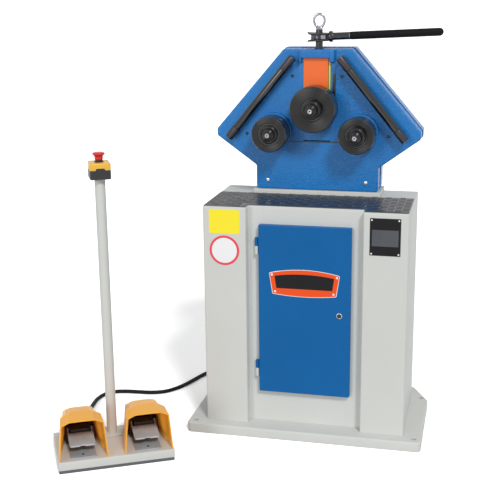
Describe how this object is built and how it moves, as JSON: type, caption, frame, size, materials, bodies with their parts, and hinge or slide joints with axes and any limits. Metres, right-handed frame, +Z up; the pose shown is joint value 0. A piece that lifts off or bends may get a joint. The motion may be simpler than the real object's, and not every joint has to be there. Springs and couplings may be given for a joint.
{
  "type": "ring roller",
  "caption": "Three-roll section bender on a cabinet stand, with a hand-fed upper roll and a foot-pedal station with a stop button on a floor cable.",
  "frame": {"origin": "centre of the base plate's underside, on the floor", "axes": "+X to the operator's right, +Y away from the operator towards the back, +Z up"},
  "size_m": [1.227, 1.0254, 1.4084],
  "materials": {
    "cabinet_paint": "light warm grey, satin",
    "blue_paint": "mid blue, semi-gloss",
    "black_steel": "blackened, oiled",
    "bright_steel": "turned, bright",
    "cast_iron": "dark grey, machined",
    "motor_paint": "grey-blue, satin",
    "grip_rubber": "matt",
    "mat_rubber": "dark, ribbed",
    "cable_rubber": "matt",
    "orange_plate": "satin",
    "guard_orange": "semi-gloss",
    "treadle_metal": "cast, grey",
    "black_plastic": "matt",
    "cover_yellow": "semi-gloss",
    "stop_red": "semi-gloss"
  },
  "bodies": {
    "frame": {"base_plate": "cabinet_paint", "cabinet_shell": "cabinet_paint", "rear_panel": "cabinet_paint", "top_mat": "mat_rubber", "head_front_housing": "blue_paint", "head_rear_housing": "blue_paint", "screw_bridge": "blue_paint", "gib_left": "blue_paint", "gib_right": "blue_paint", "guide_bar_left": "black_steel", "guide_bar_right": "black_steel", "bearing_cap_left": "blue_paint", "bearing_cap_right": "blue_paint", "control_box": "cabinet_paint", "motor": "motor_paint", "gearbox": "cast_iron", "drive_chain": "cast_iron", "cabinet_gland": "black_plastic", "mains_gland": "black_plastic", "control_cable": "cable_rubber", "station_tray": "cabinet_paint", "station_pad": "mat_rubber", "station_post": "cabinet_paint", "estop_base": "black_plastic", "estop_cover": "cover_yellow", "estop_collar": "black_plastic", "guard_left": "guard_orange", "guard_right": "guard_orange", "pedal_base_left": "treadle_metal", "pedal_base_right": "treadle_metal", "switch_body_left": "black_plastic", "switch_body_right": "black_plastic", "pedal_gland": "black_plastic"},
    "door": {"door_panel": "blue_paint"},
    "lock": {"door_lock": "bright_steel"},
    "slide_carriage": {"carriage": "blue_paint", "carriage_plate": "orange_plate"},
    "screw": {"lead_screw": "black_steel", "ratchet_wheel": "bright_steel", "lifting_eye": "bright_steel"},
    "lever": {"ratchet_body": "black_steel", "lever_bar": "black_steel", "lever_grip": "grip_rubber"},
    "top_roll_set": {"top_shaft": "bright_steel", "top_roll": "black_steel", "top_roll_nut": "black_steel"},
    "drive": {"drive_gear": "cast_iron"},
    "left_roll_set": {"left_shaft": "bright_steel", "left_roll": "black_steel", "left_roll_nut": "black_steel", "left_gear": "cast_iron"},
    "right_roll_set": {"right_shaft": "bright_steel", "right_roll": "black_steel", "right_roll_nut": "black_steel", "right_gear": "cast_iron"},
    "motor_shaft": {"motor_sprocket": "cast_iron"},
    "stop_plunger": {"estop_plunger": "black_plastic"},
    "stop_button": {"estop_button": "stop_red"},
    "pedal_left": {"treadle_left": "treadle_metal"},
    "pedal_right": {"treadle_right": "treadle_metal"}
  },
  "joints": [
    {"name": "door_swing", "type": "hinge", "parent": "frame", "child": "door", "pos_m": [-0.1625, -0.1753, 0.4427], "axis": [0, 0, -1], "range_deg": [0, 110]},
    {"name": "lock_turn", "type": "hinge", "parent": "door", "child": "lock", "pos_m": [0.1185, -0.1753, 0.4383], "axis": [0, 1, 0], "range_deg": [0, 90]},
    {"name": "carriage_slide", "type": "slide", "parent": "frame", "child": "slide_carriage", "axis": [0, 0, 1], "range_m": [0, 0.088]},
    {"name": "screw_turn", "type": "hinge", "parent": "slide_carriage", "child": "screw", "pos_m": [0, 0.085, 1.22], "axis": [0, 0, 1], "range_deg": [0, 3960]},
    {"name": "lever_swing", "type": "hinge", "parent": "screw", "child": "lever", "pos_m": [0, 0.085, 1.3286], "axis": [0, 0, 1], "continuous": true},
    {"name": "top_roll_spin", "type": "hinge", "parent": "slide_carriage", "child": "top_roll_set", "pos_m": [0, 0, 1.0996], "axis": [0, 1, 0], "continuous": true},
    {"name": "drive_spin", "type": "hinge", "parent": "frame", "child": "drive", "pos_m": [0, 0.11, 0.93966], "axis": [0, 1, 0], "continuous": true},
    {"name": "left_roll_spin", "type": "hinge", "parent": "frame", "child": "left_roll_set", "pos_m": [-0.147, 0.04, 1.0146], "axis": [0, 1, 0], "continuous": true},
    {"name": "right_roll_spin", "type": "hinge", "parent": "frame", "child": "right_roll_set", "pos_m": [0.147, 0.04, 1.0146], "axis": [0, 1, 0], "continuous": true},
    {"name": "motor_spin", "type": "hinge", "parent": "frame", "child": "motor_shaft", "pos_m": [0, 0.11, 0.7], "axis": [0, 1, 0], "continuous": true},
    {"name": "stop_press", "type": "slide", "parent": "frame", "child": "stop_plunger", "axis": [0, 0, -1], "range_m": [0, 0.005], "stiffness_N_per_m": 800, "springref_m": -0.004},
    {"name": "stop_twist", "type": "hinge", "parent": "stop_plunger", "child": "stop_button", "pos_m": [-0.62034, -0.38632, 0.98], "axis": [0, 0, 1], "range_deg": [0, 45], "stiffness_Nm_per_rad": 0.05, "springref_deg": -11.46},
    {"name": "pedal_left_press", "type": "hinge", "parent": "frame", "child": "pedal_left", "pos_m": [-0.69816, -0.4764, 0.0868], "axis": [0.8829, 0.4695, 0], "range_deg": [0, 10], "stiffness_Nm_per_rad": 20, "springref_deg": -5.73},
    {"name": "pedal_right_press", "type": "hinge", "parent": "frame", "child": "pedal_right", "pos_m": [-0.51274, -0.37781, 0.0868], "axis": [0.8829, 0.4695, 0], "range_deg": [0, 10], "stiffness_Nm_per_rad": 20, "springref_deg": -5.73}
  ],
  "couplings": [
    {"joint": "screw_turn", "follows": "carriage_slide", "rad_per_m": 785.4},
    {"joint": "left_roll_spin", "follows": "drive_spin", "ratio": -1.5385},
    {"joint": "right_roll_spin", "follows": "drive_spin", "ratio": -1.5385},
    {"joint": "motor_spin", "follows": "drive_spin", "ratio": 1.3333}
  ]
}
